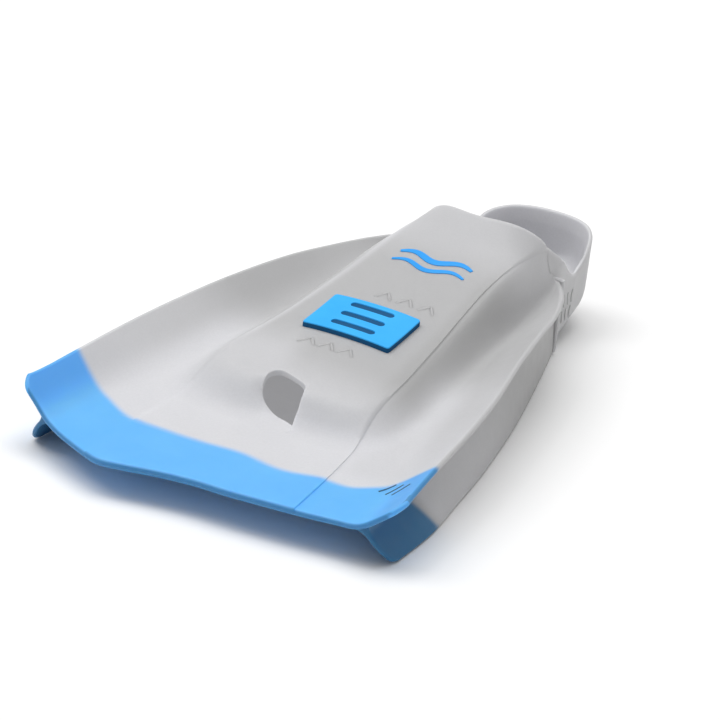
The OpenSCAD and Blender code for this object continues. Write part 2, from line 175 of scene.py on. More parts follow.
def pocket_half(y):
    return (curve(y, PANEL) + curve(y, CREASE)) / 2


def outline_level(x, y):
    """1 on the foot pocket's outline, less inside it."""
    u = np.abs(x - axis_x(y)) / pocket_half(y)
    v = np.maximum(0, NOSE_Y - y) / NOSE_L
    return (u ** NOSE_N + v ** NOSE_N) ** (1 / NOSE_N)


def dome_z(x, y):
    """Top of the foot pocket."""
    mid, side = curve(y, CROWN, 1), curve(y, CROWN, 2)
    return mid - (mid - side) * (np.abs(x - axis_x(y)) / curve(y, PANEL)) ** CROWN_N


def tunnel_side(y):
    """Side of the hollow that leads water into the drain hole."""
    return TUNNEL_X - TUNNEL_SKEW * (y - TUNNEL_Y)


def fill(x, y):
    """How much of the dome stands, which is less in the hollow before the drain hole."""
    inside = tunnel_side(y) - x
    ramp = smooth((inside - TUNNEL_FLOOR) / TUNNEL_RAMP)
    return np.where(inside < 0, 1.0,
                    lerp(ramp, 1.0, fade(y, TUNNEL_ROOF, TUNNEL_ROOF + 13)))


def wall_share(x, y):
    """0 on the blade, 1 on the foot pocket."""
    return smooth((1 + WALL_BLEND - outline_level(x, y)) / (2 * WALL_BLEND)) * fill(x, y)


def top_z(x, y):
    """Top of the whole skin, without the instep panel's step."""
    return lerp(base_z(x, y), dome_z(x, y), wall_share(x, y))


def rim_at(x):
    """y of the instep panel's rear rim."""
    return RIM_Y + RIM_BOW * np.minimum(np.abs(x - RIM_X), RIM_HALF) ** 2


def blue_share(x, y):
    """1 in the blue tip, 0 in the grey."""
    return 1 - smooth((y - curve(np.clip(x, -104, 104), BLUE_LINE)) / BLUE_BLUR + 0.5)


# ---- Mesh building ----
def spaced(u, power):
    """0..1 with the steps closing up towards 1."""
    return 1 - (1 - u) ** power


def grid_normals(p):
    """Unit normals of a grid of points, rows by columns."""
    du = np.gradient(p, axis=0)
    dv = np.gradient(p, axis=1)
    n = np.cross(dv, du)
    return n / np.maximum(np.linalg.norm(n, axis=2, keepdims=True), 1e-9)


def loop_of(n, m):
    """Border of a grid, as (row, column) pairs in order."""
    return ([(0, j) for j in range(m)] + [(i, m - 1) for i in range(1, n)]
            + [(n - 1, j) for j in range(m - 2, -1, -1)] + [(i, 0) for i in range(n - 2, 0, -1)])


def shell_mesh(outer, inner, arc=4, bulge=1.0, reach=9.0, flat_side=False, folded=False):
    """Closed solid between two grids; its border is rounded, except the first column's if flat.

    Folded grids meet themselves in their first and last rows, which then have no border.
    """
    n, m = outer.shape[:2]
    pts = [outer.reshape(-1, 3), inner.reshape(-1, 3)]
    idx = np.arange(n * m).reshape(n, m)
    quads = np.stack([idx[:-1, :-1], idx[1:, :-1], idx[1:, 1:], idx[:-1, 1:]], axis=2)
    quads = quads.reshape(-1, 4)
    faces = [tuple(q) for q in quads.tolist()]
    faces += [tuple(q) for q in (quads[:, ::-1] + n * m).tolist()]
    loop = loop_of(n, m)
    corners = ((0, 0), (0, m - 1), (n - 1, 0), (n - 1, m - 1))
    a = np.array([outer[i, j] for i, j in loop])
    b = np.array([inner[i, j] for i, j in loop])
    ids_a = [int(idx[i, j]) for i, j in loop]
    mid, half = (a + b) / 2, (a - b) / 2
    tangent = np.roll(mid, -1, axis=0) - np.roll(mid, 1, axis=0)
    out = np.cross(half, tangent)
    length = np.linalg.norm(out, axis=1, keepdims=True)
    out = np.where(length > 1e-9, out / np.maximum(length, 1e-9), 0)
    for i, j in corners:
        k = loop.index((i, j))
        v = out[k - 1] + out[(k + 1) % len(loop)]
        out[k] = v / max(np.linalg.norm(v), 1e-9)
    centre = mid.mean(axis=0)
    if np.sum((mid - centre) * out) < 0:
        out = -out
    if folded:
        for i, j in corners:
            k = loop.index((i, j))
            out[k] = out[loop.index((1 if i == 0 else n - 2, j))] * [0, 1, 1]
            out[k] /= np.linalg.norm(out[k])
    if flat_side:
        out[[k for k, (i, j) in enumerate(loop) if j == 0]] = 0
    radius = np.minimum(np.linalg.norm(half, axis=1, keepdims=True), reach)
    rings = [ids_a]
    base = 2 * n * m
    for s in range(1, arc):
        t = math.pi * s / arc
        pts.append(mid + half * math.cos(t) + out * radius * bulge * math.sin(t))
        rings.append(list(range(base, base + len(loop))))
        base += len(loop)
    rings.append([i + n * m for i in ids_a])
    c = len(loop)
    for r, q in zip(rings[:-1], rings[1:]):
        faces += [(r[k], r[(k + 1) % c], q[(k + 1) % c], q[k]) for k in range(c)
                  if not (folded and loop[k][0] == loop[(k + 1) % c][0] in (0, n - 1))]
    return np.concatenate(pts), faces


def lining_faces(faces, mask):
    """Marks the faces that line the pocket; mask is for the faces of a shell's inner grid."""
    inside = np.zeros(len(faces), bool)
    inside[mask.size:2 * mask.size] = mask
    return inside


def new_piece(name, points, faces, material, angle=50, inside=None):
    """Mesh object from points in millimetres; inside tells which faces line the pocket."""
    mesh = bpy.data.meshes.new(name)
    co = (np.asarray(points, float) - [0, MID_Y, 0]) / 1000
    mesh.from_pydata(co.tolist(), [], faces)
    if inside is not None:
        mesh.polygons.foreach_set("material_index", inside.astype(np.int32))
    mesh.validate()
    obj = bpy.data.objects.new(name, mesh)
    bpy.context.scene.collection.objects.link(obj)
    recalc(obj)
    mesh.materials.append(material)
    if inside is not None:
        mesh.materials.append(LINING)
    shade(obj, angle)
    return obj


def recalc(obj):
    """Welds points that coincide and turns all faces outwards."""
    bm = bmesh.new()
    bm.from_mesh(obj.data)
    bmesh.ops.remove_doubles(bm, verts=bm.verts, dist=2e-6)
    bmesh.ops.dissolve_degenerate(bm, edges=bm.edges, dist=1e-6)
    bmesh.ops.recalc_face_normals(bm, faces=bm.faces)
    bm.to_mesh(obj.data)
    bm.free()


def shade(obj, angle):
    """Smooth shading, with creases where faces meet at more than the angle."""
    obj.data.shade_smooth()
    obj.data.set_sharp_from_angle(angle=math.radians(angle))


def apply_modifiers(obj):
    deps = bpy.context.evaluated_depsgraph_get()
    mesh = bpy.data.meshes.new_from_object(obj.evaluated_get(deps))
    old = obj.data
    obj.modifiers.clear()
    obj.data = mesh
    bpy.data.meshes.remove(old)


def cut(obj, *cutters):
    """Cuts the cutters out of the object and removes them."""
    for c in cutters:
        m = obj.modifiers.new("cut", "BOOLEAN")
        m.operation = "DIFFERENCE"
        m.solver = "EXACT"
        m.object = c
        apply_modifiers(obj)
        data = c.data
        bpy.data.objects.remove(c)
        bpy.data.meshes.remove(data)


def paint(obj, painted_share_fn=None, slant=0.0):
    """Writes how blue each point is, and its painted light and shade, for the silicone's colour.
    """
    mesh = obj.data
    co = np.empty(len(mesh.vertices) * 3, np.float32)
    mesh.vertices.foreach_get("co", co)
    p = co.reshape(-1, 3) * 1000 + [0, MID_Y, 0]
    tint = mesh.attributes.new("tint", "FLOAT", "POINT")
    line_y = p[:, 1] - slant * np.maximum(0, SLANT_TOP - p[:, 2])
    tint.data.foreach_set("value", blue_share(p[:, 0], line_y).astype(np.float32))
    # painted light and shade: how much lighter or darker the silicone is painted at each point
    painted_light_shade = mesh.attributes.new("painted_light_shade", "FLOAT", "POINT")
    painted_share = np.zeros(len(p)) if painted_share_fn is None else painted_share_fn(p)
    value = clamp(lerp(LEAST_PAINTED_LIGHT, 1.0, painted_share))
    painted_light_shade.data.foreach_set("value", value.astype(np.float32))


# ---- Materials ----
def nodes_of(name):
    """New material with its node tree and shader."""
    mat = bpy.data.materials.new(name)
    mat.use_nodes = True
    tree = mat.node_tree
    shader = tree.nodes["Principled BSDF"]
    return mat, tree, shader


def noise(tree, scale, detail=3.0):
    """Noise texture that is fixed to the object."""
    where = tree.nodes.new("ShaderNodeTexCoord")
    tex = tree.nodes.new("ShaderNodeTexNoise")
    tex.inputs["Scale"].default_value = scale
    tex.inputs["Detail"].default_value = detail
    tree.links.new(where.outputs["Object"], tex.inputs["Vector"])
    return tex


def bump(tree, shader, tex, strength, distance):
    node = tree.nodes.new("ShaderNodeBump")
    node.inputs["Strength"].default_value = strength
    node.inputs["Distance"].default_value = distance
    tree.links.new(tex.outputs["Fac"], node.inputs["Height"])
    tree.links.new(node.outputs["Normal"], shader.inputs["Normal"])


def spread(tree, tex, low, high):
    """Maps a noise texture to a range of values."""
    node = tree.nodes.new("ShaderNodeMapRange")
    node.inputs["From Min"].default_value = 0.3
    node.inputs["From Max"].default_value = 0.7
    node.inputs["To Min"].default_value = low
    node.inputs["To Max"].default_value = high
    tree.links.new(tex.outputs["Fac"], node.inputs["Value"])
    return node


def mix(tree, factor, a, b):
    """Mix colour node; a, b and factor are sockets or values."""
    node = tree.nodes.new("ShaderNodeMix")
    node.data_type = "RGBA"
    for number, value in ((0, factor), (6, a), (7, b)):
        socket = node.inputs[number]
        if isinstance(value, bpy.types.NodeSocket):
            tree.links.new(value, socket)
        else:
            socket.default_value = value
    return node.outputs[2]


def attribute(tree, name):
    """Output socket of a value that paint() wrote."""
    node = tree.nodes.new("ShaderNodeAttribute")
    node.attribute_name = name
    return node.outputs["Fac"]


def two_tone_silicone():
    """Grey silicone that fades into blue at the tip; painted light and shade make the grey paler
    and the blue clearer where light would come through, and darker in shade.
    """
    mat, tree, shader = nodes_of("silicone_two_tone")
    cloud = noise(tree, 26, 4)
    fine = noise(tree, 900, 2)
    painted_light_shade = attribute(tree, "painted_light_shade")
    # painted light and shade: the grey goes from darker to paler as the attribute rises
    grey = mix(tree, painted_light_shade, (0.42, 0.42, 0.42, 1), (0.69, 0.69, 0.715, 1))
    tone = mix(tree, spread(tree, cloud, 0.0, 0.05).outputs[0], grey, (0.38, 0.38, 0.38, 1))
    grain = mix(tree, spread(tree, fine, 0.0, 0.07).outputs[0], tone, (0.30, 0.30, 0.30, 1))
    clear = mix(tree, spread(tree, cloud, 0, 1).outputs[0], (0.125, 0.47, 0.97, 1),
                (0.145, 0.50, 1.0, 1))
    # painted light and shade: the blue is deep where the attribute is low and clear where it is
    # high
    blue = mix(tree, painted_light_shade, (0.030, 0.155, 0.31, 1), clear)
    tree.links.new(mix(tree, attribute(tree, "tint"), grain, blue), shader.inputs["Base Color"])
    tree.links.new(spread(tree, noise(tree, 140, 3), 0.42, 0.52).outputs[0],
                   shader.inputs["Roughness"])
    bump(tree, shader, fine, 0.08, 0.0004)
    shader.inputs["Specular IOR Level"].default_value = 0.35
    shader.inputs["Subsurface Weight"].default_value = 0.8
    shader.inputs["Subsurface Radius"].default_value = (1.0, 1.0, 1.0)
    shader.inputs["Subsurface Scale"].default_value = 0.004
    return mat


def plain_silicone(name, low, high, rough=(0.4, 0.5), gloss=0.35):
    """Silicone of one colour, which varies a little from low to high."""
    mat, tree, shader = nodes_of(name)
    tone = mix(tree, spread(tree, noise(tree, 60, 3), 0, 1).outputs[0], (*low, 1), (*high, 1))
    tree.links.new(tone, shader.inputs["Base Color"])
    tree.links.new(spread(tree, noise(tree, 160, 3), *rough).outputs[0],
                   shader.inputs["Roughness"])
    bump(tree, shader, noise(tree, 900, 2), 0.08, 0.0003)
    shader.inputs["Specular IOR Level"].default_value = gloss
    return mat


def lining_silicone():
    """Grey silicone inside the pocket; a faint glow stands for the light through its walls."""
    mat = plain_silicone("silicone_lining", (0.44, 0.44, 0.45), (0.47, 0.47, 0.48), (0.5, 0.6))
    shader = mat.node_tree.nodes["Principled BSDF"]
    shader.inputs["Emission Color"].default_value = (0.98, 0.98, 1.0, 1)
    shader.inputs["Emission Strength"].default_value = 0.16
    return mat


SILICONE = two_tone_silicone()
LINING = lining_silicone()
BADGE_DARK = plain_silicone("badge_dark", (0.009, 0.085, 0.21), (0.014, 0.10, 0.24),
                            (0.6, 0.7), 0.12)
BADGE_LIGHT = plain_silicone("badge_light", (0.032, 0.44, 0.97), (0.042, 0.48, 1.0), gloss=0.25)
PRINT_BLUE = plain_silicone("print_blue", (0.012, 0.34, 0.90), (0.018, 0.38, 0.95))
INK_BLUE = plain_silicone("ink_blue", (0.008, 0.05, 0.13), (0.012, 0.07, 0.17))


# ---- Top skin ----
def tip_start(x):
    """Front edge of the tip, with the wings' corners rounded off."""
    edge = curve(TIP_CORNER, UPPER_EDGE) - EDGE_R
    q = 0.95 * clamp((CORNER_X - (edge - np.abs(x))) / CORNER_X)
    return curve(x, TIP_EDGE) + EDGE_R + CORNER_Y * (1 - np.sqrt(1 - q * q))


def row_table():
    """How each row's points are placed, and its y or its share of the stretch."""
    tip = [("tip", v) for v in np.linspace(0, 1, 22)[:-1] ** 1.25]
    mid = [("mid", y) for y in np.concatenate([np.arange(FLEX_FRONT, TOE_END, 1.24),
                                                np.arange(TOE_END, MID_END, 2.0)])]
    rear = [("rear", v) for v in np.linspace(0, 1, 46)]
    return tip + mid + rear


def column_table(y):
    """x of each column at nominal y, and which columns carry the raised panel."""
    edge = curve(y, UPPER_EDGE) - EDGE_R
    fold = curve(y, CREASE)
    a, p = axis_x(y), curve(y, PANEL)
    t = tunnel_side(min(y, TUNNEL_END))
    g, h = 0.18, 0.25               # half-widths of the panel's step and of the tunnel's wall
    n_wing, n_web, n_left, n_right = 15, 26, 32, 24
    wing = lerp(fold, edge, spaced(np.linspace(0, 1, n_wing), 1.6))
    f = np.linspace(0, 1, n_web + 1)
    xs = [-wing[::-1],
          lerp(-fold, a - p - g, f)[1:],
          lerp(a - p + g, t - h, np.linspace(0, 1, n_left)),
          lerp(t + h, a + p - g, np.linspace(0, 1, n_right)),
          lerp(a + p + g, fold, f)[:-1],
          wing]
    step = [np.zeros(n_wing + n_web), np.ones(n_left + n_right), np.zeros(n_web + n_wing)]
    return np.concatenate(xs), np.concatenate(step)


def skin_grids():
    """Outer and inner grid of the skin, from the tip's edge to the instep's rim."""
    rows = []
    for kind, v in row_table():
        if kind == "tip":
            x, step = column_table(lerp(TIP_CORNER, FLEX_FRONT, v))
            y = lerp(tip_start(x), FLEX_FRONT, v)
        elif kind == "mid":
            x, step = column_table(v)
            y = np.full_like(x, v)
        else:
            x, step = column_table(lerp(MID_END, REAR_Y, v))
            y = lerp(MID_END, rim_at(x) - EDGE_R, v)
        rows.append(np.stack([x, y, top_z(x, y), step], axis=1))
    g = np.array(rows)
    surface = g[:, :, :3].copy()
    normal = grid_normals(surface)
    y, x = surface[:, :, 1], surface[:, :, 0]
    pocket = fade(y, -125, -113) * (outline_level(x, y) < 1.3)
    t = lerp(WEB_T, RAIL_T, clamp((np.abs(x) - curve(y, CREASE)) / 8))
    t = lerp(t, POCKET_T, pocket)
    # thinner round the drain hole
    t = t - 1.9 * np.exp(-((np.hypot(x - HOLE_MID[0], y - HOLE_MID[1]) / 17) ** 4))
    low = surface - normal * t[:, :, None]
    surface[:, :, 2] += g[:, :, 3] * PANEL_STEP
    return surface, low


def offset_outline(points, d):
    """Closed outline moved outwards by d."""
    p = np.array(points, float)
    nxt, prv = np.roll(p, -1, axis=0), np.roll(p, 1, axis=0)
    t = nxt - prv
    n = np.stack([t[:, 1], -t[:, 0]], axis=1)
    n /= np.linalg.norm(n, axis=1, keepdims=True)
    area = 0.5 * np.sum(p[:, 0] * nxt[:, 1] - nxt[:, 0] * p[:, 1])
    return p + n * d * (1 if area > 0 else -1)


def round_outline(points, steps=6):
    """Closed Catmull-Rom curve through the points."""
    p = np.array(points, float)
    out = []
    for i in range(len(p)):
        a, b, c, d = p[i - 1], p[i], p[(i + 1) % len(p)], p[(i + 2) % len(p)]
        for s in range(steps):
            u = s / steps
            out.append(0.5 * (2 * b + (c - a) * u + (2 * a - 5 * b + 4 * c - d) * u * u
                              + (3 * b - a - 3 * c + d) * u ** 3))
    return np.array(out)


def stack_mesh(rings):
    """Closed solid from rings of the same length, with flat ends."""
    n = len(rings[0])
    pts = np.concatenate(rings)
    faces = [tuple(range(n - 1, -1, -1)), tuple(range((len(rings) - 1) * n, len(rings) * n))]
    for r in range(len(rings) - 1):
        faces += [(r * n + k, r * n + (k + 1) % n, (r + 1) * n + (k + 1) % n, (r + 1) * n + k)
                  for k in range(n)]
    return pts, faces


def hole_cutter():
    """Tool that cuts the drain hole, with a rounded upper edge and flat ends."""
    outline = round_outline(HOLE)
    rings = []
    low_end, high_end = -14, 8
    for depth, grow in ((low_end, -0.1), (-2.2, 0.0), (-0.6, 0.02), (-0.25, 0.1), (0.1, 0.45),
                        (high_end, 1.6)):
        o = offset_outline(outline, grow)
        z = top_z(o[:, 0], o[:, 1]) + PANEL_STEP + depth
        if depth in (low_end, high_end):
            z = np.full(len(o), z.min() if depth < 0 else z.max())
        rings.append(np.column_stack([o, z]))
    points, faces = stack_mesh(rings)
    return new_piece("cutter", points, faces, SILICONE, inside=np.ones(len(faces), bool))


def skin_painted_light_shade(p):
    """Painted light and shade on the skin: 1 on the flat blade, as if lit through its single
    layer, less up the wings and over the foot.
    """
    x, y = p[:, 0], p[:, 1]
    a, half = axis_x(y), curve(y, PANEL)
    fold, edge = curve(y, CREASE), curve(y, UPPER_EDGE)
    wing = smooth(1.5 * (np.abs(x) - fold) / (edge - fold))
    # painted light through the flat blade, and painted shade up the wings
    web = lerp(0.14, 1.0, fade(y, 3, -59)) * (1 - lerp(0.3, 0.6, fade(y, -150, -50)) * wing)
    # painted light on the toe wall and on the foot's rear
    toe_y = 22 * fade(x, a, a - 25) - 50
    toe = fade(y, toe_y, toe_y - 50)
    rear = fade(y, 30, 80)
    # painted shade on the foot's right flank
    right = fade(x, a + 0.75 * half, a + 0.75 * half + 10)
    foot = 0.08 + 0.52 * toe + 0.36 * rear - 0.2 * right * (1 - toe) * (1 - 0.6 * rear)
    value = lerp(web, foot, clamp(wall_share(x, y) * 1.15))
    # painted highlights: along the panel's left shoulder, and on the fillet at the foot of the toe
    # wall
    value = value + 0.45 * np.exp(-((x - a + half - 0.5) / 2.2) ** 2) * fade(y, -75, -45)
    fillet = np.exp(-((outline_level(x, y) - 1.1) / 0.07) ** 2)
    value = value + 0.2 * fillet * fade(y, -60, -80) * (x > -5)
    # painted shade: the web beside the right wing, and the rims of the tip and of the right wing
    value = value - 0.22 * fade(x, 45, 65) * (1 - wing) * fade(y, -142, -122)
    tip_rim_shade = (y < tip_start(x) - 0.25) & (np.abs(x) < edge - CORNER_X)
    wing_rim_shade = (x > edge - EDGE_R + 0.3) & (y > tip_start(x))
    return np.where(tip_rim_shade | wing_rim_shade, 0.14, value)


def build_skin():
    """Blade, wings and the top of the foot pocket in one."""
    outer, low = skin_grids()
    points, faces = shell_mesh(outer, low)
    under = low[:-1, :-1].reshape(-1, 3)
    inside = lining_faces(faces, outline_level(under[:, 0], under[:, 1]) < 1.05)
    obj = new_piece("fin_skin", points, faces, SILICONE, inside=inside)
    cut(obj, hole_cutter())
    shade(obj, 50)
    paint(obj, skin_painted_light_shade)
    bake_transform(obj)
    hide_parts("tip_panel", "tip_web_left", "tip_web_right", "tip_rail_left",
                "tip_rail_right", "flex_panel", "flex_web_left", "flex_web_right",
                "flex_rail_left", "flex_rail_right", "toe_cap", "pocket_top", "instep_panel",
                "flank_left", "flank_right", "rear_rail_left", "rear_rail_right")


# ---- Keels ----
def keel_shift(side, y):
    """How far the left keel moves in, so that it meets the heel, which is off centre."""
    return 0 if side > 0 else 2 * axis_x(y) * fade(y, 10, 100)


def under_z(x, y, t):
    """Underside of a skin of thickness t."""
    d = 0.5
    sx = (top_z(x + d, y) - top_z(x - d, y)) / (2 * d)
    sy = (top_z(x, y + d) - top_z(x, y - d)) / (2 * d)
    return top_z(x, y) - t * np.minimum(2.2, np.sqrt(1 + sx * sx + sy * sy))


def keel_grids(side):
    """Outer and inner grid of a keel; u goes down it and v back along it."""
    rows, cols = 190, 26
    u = np.linspace(0, 1, cols) ** 1.3
    height, corner, flare = 18.0, 10.0, 4.0
    low_cut = corner * (1 - np.sqrt(1 - clamp((corner - (1 - u) * height) / corner) ** 2))
    start = TIP_CORNER + EDGE_R + 4.5 * smooth(u) + 0.9 * low_cut
    outer = np.empty((rows, cols, 3))
    inner = np.empty((rows, cols, 3))
    for i, v in enumerate(np.linspace(0, 1, rows)):
        y = lerp(start, lerp(KEEL_END_TOP, KEEL_END_LOW, np.sqrt(u)), v)
        y_in = np.minimum(y, KEEL_END_TOP)
        root = curve(y, KEEL_ROOT)
        shift = keel_shift(side, y)
        z_root = under_z(side * (root - shift), y_in, RAIL_T) + KEEL_LAP
        x = lerp(root, curve(y, LOWER_EDGE) - 0.3, u ** 0.8) - shift
        z = lerp(z_root, EDGE_R * 0.9, u)
        front = 1 - fade(v, 0.02, 0.14)
        for grid, tall in ((outer, flare), (inner, flare + 3 * front)):
            d = clamp((z_root - z) / tall)
            e = tall * (1 - np.sqrt(1 - (1 - d) ** 2))
            xx = x + e if grid is outer else x - RAIL_T - e * lerp(0.8, 1.5, front)
            local = np.minimum(under_z(side * xx, y_in, RAIL_T) + KEEL_LAP, z_root + 2.2)
            grid[i] = np.stack([side * xx, y, z + (local - z_root) * (1 - d) ** 1.5], axis=1)
    return outer, inner


def keel_painted_light_shade(p):
    """Painted light and shade on the keels: palest behind the blue, and painted shade that darkens
    towards the heel.
    """
    y = p[:, 1] - KEEL_SLANT * np.maximum(0, SLANT_TOP - p[:, 2])
    return 0.65 * fade(y, -131, -119) * (1 - fade(y, -100, 70)) - 0.2


def build_keel(side, name):
    mesh = shell_mesh(*keel_grids(side), bulge=0.9, reach=EDGE_R, flat_side=True)
    obj = new_piece("keel_" + name, *mesh, SILICONE)
    paint(obj, keel_painted_light_shade, KEEL_SLANT)
    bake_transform(obj)
    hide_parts("tip_keel_" + name, "flex_keel_" + name, "rear_keel_" + name)


def build_rail_end(side, name):
    """Rib that closes the rear of a rail and runs down the heel wall to the keel."""
    rows, cols = 30, 12
    front = np.empty((rows, cols, 3))
    for i, u in enumerate(np.linspace(0, 1, rows)):
        y = KEEL_END_LOW - 15 * (1 - u) ** 2
        edge = 46 + 6.2 * (1 - u) ** 2.2
        width = lerp(6.4, 2.4, fade(u, 0, 0.625))
        for j, w in enumerate(np.linspace(0, 1, cols)):
            x = side * (edge - width * w - keel_shift(side, y))
            front[i, j] = x, y - RAIL_T * 0.5, lerp(48.6, 1.8, u)
    rear = front + [0, RAIL_T, 0]
    obj = new_piece("rail_rib_" + name, *shell_mesh(front, rear, bulge=0.9), SILICONE)
    # the rib gets one even value of painted light and shade
    paint(obj, lambda p: np.full(len(p), 0.3))
    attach(obj, "foot_pocket")
    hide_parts("rail_end_" + name)


# ---- Foot shell: sole, side walls and heel cup in one ----
def sole_bottom(y):
    """Underside of the sole, which lifts under the toes and the heel."""
    nose = SOLE_Z + 13 * (np.maximum(0, -50 - y) / 62) ** 2.2
    heel = SOLE_Z + 23 * (np.maximum(0, y - 112) / 85) ** 1.5
    return np.where(y < -50, nose, heel)


def heel_side(y):
    """Half-width of the heel wall."""
    return curve(y, SOLE_EDGE) + 0.4 + 1.6 * clamp((130 - y) / 22)


def shell_rows():
    """(foot half-width, foot y, head half-width, head y, kind) for each row, nose to heel."""
    out = []
    for w in np.linspace(0.0, 1.0, 22)[:-1] ** 0.9:
        c = (1 - w ** NOSE_N) ** (1 / NOSE_N)
        head = pocket_half(NOSE_Y) * HEAD_OVER
        out.append((SOLE_EDGE[0][1] * w, NOSE_Y - FOOT_NOSE * c, head * w,
                    NOSE_Y - HEAD_NOSE * c, "toe"))
    for y in np.arange(NOSE_Y, WRAP_Y - 1, 3.0):
        u = (y - NOSE_Y) / (REAR_Y - NOSE_Y)
        head = lerp(pocket_half(y) * HEAD_OVER, 41.0, clamp(u - 0.4) / 0.6)
        out.append((float(curve(y, SOLE_EDGE)), y, float(head), y, "side"))
    for y in np.linspace(WRAP_Y, HEEL_Y, 40)[:-1]:
        out.append((float(heel_side(y)) - 0.5, y, float(heel_side(y)), y, "heel"))
    for w in np.linspace(1.0, 0.0, 34) ** 0.85:
        y = HEEL_Y + (HEEL_END - HEEL_Y) * (1 - w ** HEEL_N) ** (1 / HEEL_N)
        out.append((HEEL_HALF * w, y, HEEL_HALF * w, y, "heel"))
    return out


def flank_outline(y):
    """Half-width against height of the skin's outer wall, which the heel wall carries on."""
    y = min(y, REAR_Y)
    x = np.linspace(float(axis_x(y) + curve(y, PANEL)) - 4, float(curve(y, CREASE)), 50)
    z = top_z(x, np.full_like(x, y))
    return z[::-1], (x - float(axis_x(y)))[::-1]


def section(foot, y_foot, head, y_head, kind, inset):
    """Half of a row, from the head of the wall down, round the corner and in to the middle."""
    sole = float(sole_bottom(np.float64(y_foot)))
    wall_n, corner_n, flat_n = 16, 7, 10
    c = float(axis_x(y_foot))
    t_sole = SOLE_T if inset else 0.0
    r = 9.0 * min(1.0, foot / 20.0) * (1.0 if inset else 0.8)
    if kind == "heel":
        z_head = min(float(curve(y_head, HEEL_RIM)), 66.0 + 1.2 * (y_head - REAR_Y)) - EDGE_R
    else:
        xh = float(axis_x(y_head)) + head
        z_head = float(under_z(xh, y_head, POCKET_T)) + 1.2
    z = lerp(z_head, sole + r + t_sole, np.linspace(0, 1, wall_n))
    q = (z_head - z) / max(z_head - sole, 1)
    t_wall = POCKET_T - RIM_TAPER * clamp(1 - (z_head - z) / 7) * (kind == "heel")
    x = lerp(head, foot, q)
    y = lerp(y_head, y_foot, q)
    if kind == "heel":
        # leans in above the ankle's height, and carries on the flank's outline at its front
        x = x - 0.33 * clamp((130 - y_head) / 23) * np.maximum(0, z - 42)
        zs, xs = flank_outline(y_head)
        gap = np.interp(z, zs, xs) + FLUSH - x
        gap = gap * clamp(1 - (zs[0] - z) / 12)
        x = x + gap * (1 - fade(y_head, REAR_Y, REAR_Y + 34))
    if inset:
        if kind == "toe":
            back = clamp((NOSE_Y - y_foot) / NOSE_L)
            x = np.maximum(x - t_wall * (1 - 0.5 * back), 0.0) if foot > 0 else x
            y = y + t_wall * back
        elif y_head > HEEL_Y:
            back = clamp((y_head - HEEL_Y) / (HEEL_END - HEEL_Y))
            x = x * (1 - t_wall / HEEL_HALF)
            y = y - t_wall * back ** 1.5
        else:
            x = x - t_wall
    x0, z0, y0 = x[-1], z[-1], y[-1]
    a = np.linspace(0, math.pi / 2, corner_n + 1)[1:]
    r_x = min(r, x0)
    xc = x0 - r_x * (1 - np.cos(a))
    zc = z0 - r * np.sin(a)
    xf = lerp(xc[-1], 0.0, np.linspace(0, 1, flat_n + 1)[1:])
    zf = np.full(flat_n, zc[-1])
    xx = np.concatenate([x, xc, xf])
    yy = np.concatenate([y, np.full(corner_n + flat_n, y0)])
    zz = np.concatenate([z, zc, zf])
    return xx, yy, zz, axis_x(yy)


def shell_painted_light(p):
    """Painted light: the heel cup is paler inside, where light comes through from both sides."""
    x, y, z = p.T
    wall = POCKET_T - RIM_TAPER * clamp(1 - (curve(y, HEEL_RIM) - EDGE_R - z) / 7)
    back = clamp((y - HEEL_Y) / (HEEL_END - HEEL_Y - wall / 2))
    half = np.where(y < HEEL_Y, heel_side(y), HEEL_HALF * (1 - back ** HEEL_N) ** (1 / HEEL_N))
    sole = sole_bottom(y)
    above = fade(z, sole + 1.5, sole + 4.5) * fade(y, 128, 142)
    return lerp(0.25, 1.0, above * (np.abs(x - axis_x(y)) < half - wall / 2))


def build_foot_shell():
    """The lower half of the foot pocket, tucked under the skin as far as the heel wall."""
    outer, inner = [], []
    for row in shell_rows():
        for inset, grid in ((False, outer), (True, inner)):
            x, y, z, c = section(*row, inset)
            right = np.stack([c + x, y, z], axis=1)
            left = np.stack([c - x, y, z], axis=1)[::-1][1:]
            grid.append(np.concatenate([right, left]))
    outer, inner = np.array(outer), np.array(inner)
    points, faces = shell_mesh(outer, inner, folded=True)
    under = points[:, 1] < REAR_Y - 9
    points[under, 2] = np.minimum(points[under, 2],
                                  top_z(points[under, 0], points[under, 1]) - 1.2)
    inside = lining_faces(faces, inner[:-1, :-1, 1].ravel() < 60)
    obj = new_piece("foot_shell", points, faces, SILICONE, 60, inside)
    paint(obj, shell_painted_light)
    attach(obj, "foot_pocket")
    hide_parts("toe_bumper", "side_wall_left", "side_wall_right", "sole", "heel_cup")


# ---- Badge, relief and prints on the pocket ----
def on_top(x, y, lift):
    """Points on the pocket's raised panel."""
    return np.stack([x, y, top_z(x, y) + PANEL_STEP + lift], axis=-1)


def rounded_box(cx, cy, w, h, r, steps=8):
    """Outline of a rectangle with rounded corners."""
    out = []
    for sx, sy, a0 in ((1, 1, 0), (-1, 1, 90), (-1, -1, 180), (1, -1, 270)):
        for a in np.linspace(a0, a0 + 90, steps + 1):
            out.append((cx + sx * (w / 2 - r) + r * math.cos(math.radians(a)),
                        cy + sy * (h / 2 - r) + r * math.sin(math.radians(a))))
    return dense(np.array(out), 2.0)


def dense(p, pitch):
    """Same closed outline with long sides split up."""
    out = []
    for a, b in zip(p, np.roll(p, -1, axis=0)):
        n = max(1, int(math.ceil(np.linalg.norm(b - a) / pitch)))
        out += [lerp(a, b, k / n) for k in range(n)]
    return np.array(out)


